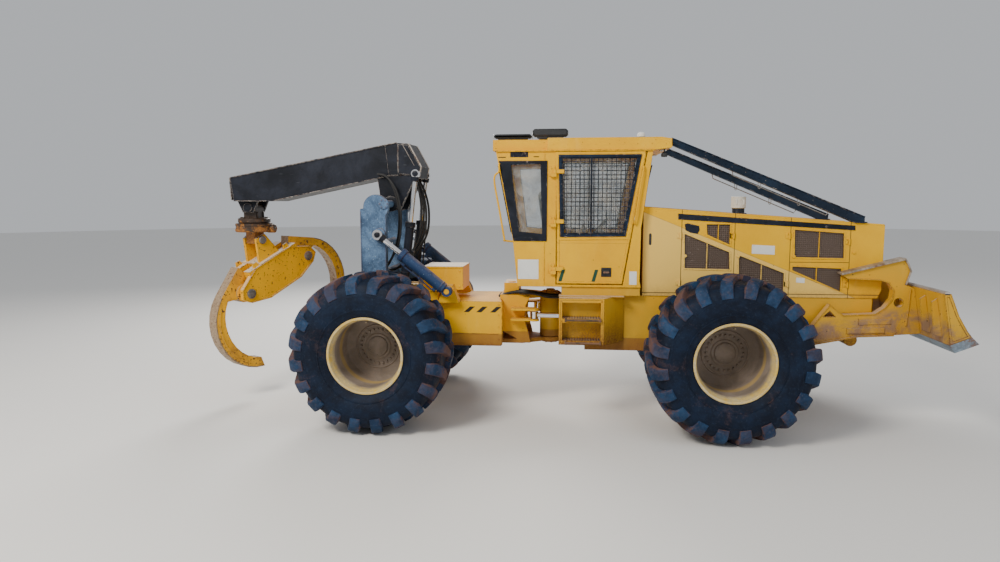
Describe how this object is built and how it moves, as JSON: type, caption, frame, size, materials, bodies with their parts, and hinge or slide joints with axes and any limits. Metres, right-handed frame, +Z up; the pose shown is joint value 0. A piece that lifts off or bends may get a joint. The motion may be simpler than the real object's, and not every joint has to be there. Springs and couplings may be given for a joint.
{
  "type": "grapple skidder",
  "caption": "Articulated forestry skidder with a front stacking blade, an enclosed cab and a rear arch and boom that swing a log grapple.",
  "frame": {"origin": "middle of the footprint of the whole machine on the ground", "axes": "+X forward to the blade, +Y to the machine's left, +Z up"},
  "size_m": [8.5677, 3.12, 3.364],
  "materials": {
    "yellow_paint": "dusty gloss paint, chipped at the edges",
    "worn_yellow_paint": "worn paint with rust, faded whitish on top",
    "rusty_paint": "paint worn to rust and grease",
    "black_paint": "semi gloss, scratched",
    "dusty_blue_grey_paint": "dusty, worn",
    "muddy_steel": "caked in dried mud",
    "dark_steel": "oily",
    "worn_steel": "ground bright by soil",
    "chrome_rod": "polished",
    "black_plastic": "matte",
    "glass": "clear, dusty",
    "seat_fabric": "woven",
    "tyre_rubber": "dusty, mud on the lugs",
    "rim_paint": "dusty, brown inside"
  },
  "bodies": {
    "front_chassis": {"front_frame": "yellow_paint", "front_axle": "muddy_steel", "engine_block": "dark_steel", "hood": "yellow_paint", "limb_risers": "black_paint", "exhaust": "black_paint", "cab_shell": "yellow_paint", "cab_roof": "yellow_paint", "roof_lamps": "black_plastic", "cab_glass": "glass", "cab_seat": "seat_fabric", "cab_controls": "black_plastic", "step_boxes": "yellow_paint"},
    "cab_door_right": {"cab_door_right": "yellow_paint", "door_glass_right": "glass"},
    "cab_door_left": {"cab_door_left": "yellow_paint", "door_glass_left": "glass"},
    "blade": {"blade": "yellow_paint", "blade_arms": "yellow_paint", "cutting_edge": "worn_steel"},
    "blade_barrels": {"blade_barrels": "yellow_paint"},
    "blade_rods": {"blade_rods": "chrome_rod"},
    "steering_barrel_right": {"steering_barrel_right": "yellow_paint"},
    "steering_rod_right": {"steering_rod_right": "chrome_rod"},
    "steering_barrel_left": {"steering_barrel_left": "yellow_paint"},
    "steering_rod_left": {"steering_rod_left": "chrome_rod"},
    "rear_chassis": {"rear_frame": "yellow_paint", "rear_axle": "muddy_steel", "winch_box": "yellow_paint"},
    "arch": {"arch": "dusty_blue_grey_paint"},
    "arch_barrels": {"arch_barrels": "dusty_blue_grey_paint"},
    "arch_rods": {"arch_rods": "chrome_rod"},
    "boom": {"boom": "black_paint"},
    "boom_barrels": {"boom_barrels": "black_paint"},
    "boom_rods": {"boom_rods": "chrome_rod"},
    "yoke": {"yoke": "rusty_paint"},
    "rotator": {"rotator": "rusty_paint"},
    "grapple": {"grapple_frame": "worn_yellow_paint"},
    "tong_right": {"tong_right": "worn_yellow_paint"},
    "tong_left": {"tong_left": "worn_yellow_paint"},
    "wheel_front_right": {"tyre_front_right": "tyre_rubber", "rim_front_right": "rim_paint"},
    "wheel_front_left": {"tyre_front_left": "tyre_rubber", "rim_front_left": "rim_paint"},
    "wheel_rear_right": {"tyre_rear_right": "tyre_rubber", "rim_rear_right": "rim_paint"},
    "wheel_rear_left": {"tyre_rear_left": "tyre_rubber", "rim_rear_left": "rim_paint"}
  },
  "joints": [
    {"name": "steering", "type": "hinge", "parent": "front_chassis", "child": "rear_chassis", "pos_m": [-0.074, 0, 1.13], "axis": [0, 0, 1], "range_deg": [-45, 45]},
    {"name": "steering_barrel_right_turn", "type": "hinge", "parent": "front_chassis", "child": "steering_barrel_right", "pos_m": [0.876, -0.45, 1.196], "axis": [0, 0, 1], "range_deg": [-7, 7]},
    {"name": "steering_rod_right_slide", "type": "slide", "parent": "steering_barrel_right", "child": "steering_rod_right", "axis": [-0.999, 0.0442, 0], "range_m": [-0.32, 0.32]},
    {"name": "steering_barrel_left_turn", "type": "hinge", "parent": "front_chassis", "child": "steering_barrel_left", "pos_m": [0.876, 0.45, 1.196], "axis": [0, 0, 1], "range_deg": [-7, 7]},
    {"name": "steering_rod_left_slide", "type": "slide", "parent": "steering_barrel_left", "child": "steering_rod_left", "axis": [-0.999, -0.0442, 0], "range_m": [-0.32, 0.32]},
    {"name": "door_right_swing", "type": "hinge", "parent": "front_chassis", "child": "cab_door_right", "pos_m": [-0.004, -0.732, 2.3], "axis": [0, 0, -1], "range_deg": [0, 85]},
    {"name": "door_left_swing", "type": "hinge", "parent": "front_chassis", "child": "cab_door_left", "pos_m": [-0.004, 0.732, 2.3], "axis": [0, 0, 1], "range_deg": [0, 85]},
    {"name": "blade_lift", "type": "hinge", "parent": "front_chassis", "child": "blade", "pos_m": [2.376, 0, 0.92], "axis": [0, -1, 0], "range_deg": [-44, 2]},
    {"name": "blade_barrels_turn", "type": "hinge", "parent": "front_chassis", "child": "blade_barrels", "pos_m": [2.576, 0, 1.42], "axis": [0, -1, 0], "range_deg": [-33.2, 1.6]},
    {"name": "blade_rods_slide", "type": "slide", "parent": "blade_barrels", "child": "blade_rods", "axis": [0.8512, 0, -0.5249], "range_m": [-0.02, 0.38]},
    {"name": "wheel_front_right_roll", "type": "hinge", "parent": "front_chassis", "child": "wheel_front_right", "pos_m": [1.876, -1.16, 0.89], "axis": [0, 1, 0], "continuous": true},
    {"name": "wheel_front_left_roll", "type": "hinge", "parent": "front_chassis", "child": "wheel_front_left", "pos_m": [1.876, 1.16, 0.89], "axis": [0, 1, 0], "continuous": true},
    {"name": "wheel_rear_right_roll", "type": "hinge", "parent": "rear_chassis", "child": "wheel_rear_right", "pos_m": [-2.024, -1.16, 0.89], "axis": [0, 1, 0], "continuous": true},
    {"name": "wheel_rear_left_roll", "type": "hinge", "parent": "rear_chassis", "child": "wheel_rear_left", "pos_m": [-2.024, 1.16, 0.89], "axis": [0, 1, 0], "continuous": true},
    {"name": "arch_swing", "type": "hinge", "parent": "rear_chassis", "child": "arch", "pos_m": [-2.124, 0, 1.25], "axis": [0, -1, 0], "range_deg": [-6, 38]},
    {"name": "arch_barrels_turn", "type": "hinge", "parent": "rear_chassis", "child": "arch_barrels", "pos_m": [-1.264, 0, 1.5], "axis": [0, -1, 0], "range_deg": [-3.2, 20.6]},
    {"name": "arch_rods_slide", "type": "slide", "parent": "arch_barrels", "child": "arch_rods", "axis": [-0.7775, 0, 0.6289], "range_m": [-0.07, 0.46]},
    {"name": "boom_lift", "type": "hinge", "parent": "arch", "child": "boom", "pos_m": [-2.024, 0, 2.52], "axis": [0, 1, 0], "range_deg": [-6, 40]},
    {"name": "boom_barrels_turn", "type": "hinge", "parent": "arch", "child": "boom_barrels", "pos_m": [-1.854, 0, 1.6], "axis": [0, 1, 0], "range_deg": [-1.8, 11.4]},
    {"name": "boom_rods_slide", "type": "slide", "parent": "boom_barrels", "child": "boom_rods", "axis": [0.1225, 0, 0.9925], "range_m": [-0.26, 0.04]},
    {"name": "yoke_swing", "type": "hinge", "parent": "boom", "child": "yoke", "pos_m": [-3.889, 0, 2.47], "axis": [0, 1, 0], "range_deg": [-12, 30]},
    {"name": "rotator_turn", "type": "hinge", "parent": "yoke", "child": "rotator", "pos_m": [-3.889, 0, 2.27], "axis": [0, 0, 1], "continuous": true},
    {"name": "grapple_tilt", "type": "hinge", "parent": "rotator", "child": "grapple", "pos_m": [-3.889, 0, 2.06], "axis": [0.866, -0.5, 0], "range_deg": [-60, 10]},
    {"name": "tong_left_swing", "type": "hinge", "parent": "grapple", "child": "tong_left", "pos_m": [-3.55677, 0.57544, 1.81815], "axis": [-0.866, 0.5, 0], "range_deg": [-35, 20]},
    {"name": "tong_right_swing", "type": "hinge", "parent": "grapple", "child": "tong_right", "pos_m": [-4.00992, -0.20944, 1.39554], "axis": [-0.866, 0.5, 0], "range_deg": [-20, 35]}
  ],
  "couplings": [
    {"joint": "steering_barrel_right_turn", "follows": "steering", "ratio": 0.14},
    {"joint": "steering_rod_right_slide", "follows": "steering", "m_per_rad": -0.395},
    {"joint": "steering_barrel_left_turn", "follows": "steering", "ratio": 0.14},
    {"joint": "steering_rod_left_slide", "follows": "steering", "m_per_rad": 0.395},
    {"joint": "blade_barrels_turn", "follows": "blade_lift", "ratio": 0.75},
    {"joint": "blade_rods_slide", "follows": "blade_lift", "m_per_rad": -0.49},
    {"joint": "arch_barrels_turn", "follows": "arch_swing", "ratio": 0.51},
    {"joint": "arch_rods_slide", "follows": "arch_swing", "m_per_rad": 0.655},
    {"joint": "boom_barrels_turn", "follows": "boom_lift", "ratio": 0.28},
    {"joint": "boom_rods_slide", "follows": "boom_lift", "m_per_rad": -0.36},
    {"joint": "tong_right_swing", "follows": "tong_left_swing", "ratio": -1}
  ]
}
